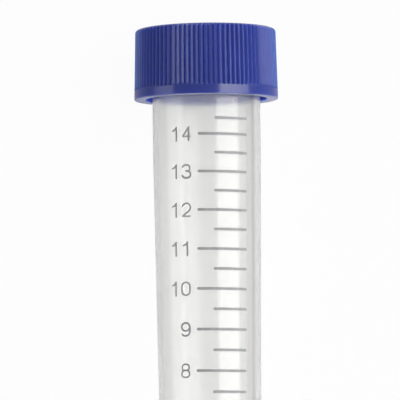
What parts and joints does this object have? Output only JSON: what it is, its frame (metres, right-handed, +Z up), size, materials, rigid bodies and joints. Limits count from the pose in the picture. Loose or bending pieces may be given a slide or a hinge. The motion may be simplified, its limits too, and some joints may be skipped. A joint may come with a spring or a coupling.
{
  "type": "conical centrifuge tube",
  "caption": "Graduated 15 ml conical-bottom centrifuge tube in clear plastic with a ribbed blue screw cap that turns and rises on its thread",
  "frame": {"origin": "centre of the bounding box, on the surface that the closed tube lies on", "axes": "+Y runs along the tube from the tip towards the cap, whose end is raised 2.4 degrees; +X is across the tube; +Z is up, on the side of the printed scale"},
  "size_m": [0.0222, 0.122, 0.0224],
  "materials": {
    "tube": "translucent colourless polypropylene, smooth",
    "cap": "deep blue polyethylene, satin gloss",
    "seal": "soft foamed polyethylene"
  },
  "bodies": {
    "tube": {"tube": "tube"},
    "seal": {"cap_seal": "seal"},
    "cap": {"cap": "cap"}
  },
  "joints": [
    {"name": "cap_lift", "type": "slide", "parent": "tube", "child": "seal", "axis": [0, 0.9991, 0.0424], "range_m": [0, 0.01051]},
    {"name": "cap_turn", "type": "hinge", "parent": "seal", "child": "cap", "pos_m": [0, 0.05513, 0.01134], "axis": [0, 0.9991, 0.0424], "range_deg": [0, 1260]}
  ],
  "couplings": [
    {"joint": "cap_lift", "follows": "cap_turn", "m_per_rad": 0.00047746}
  ]
}
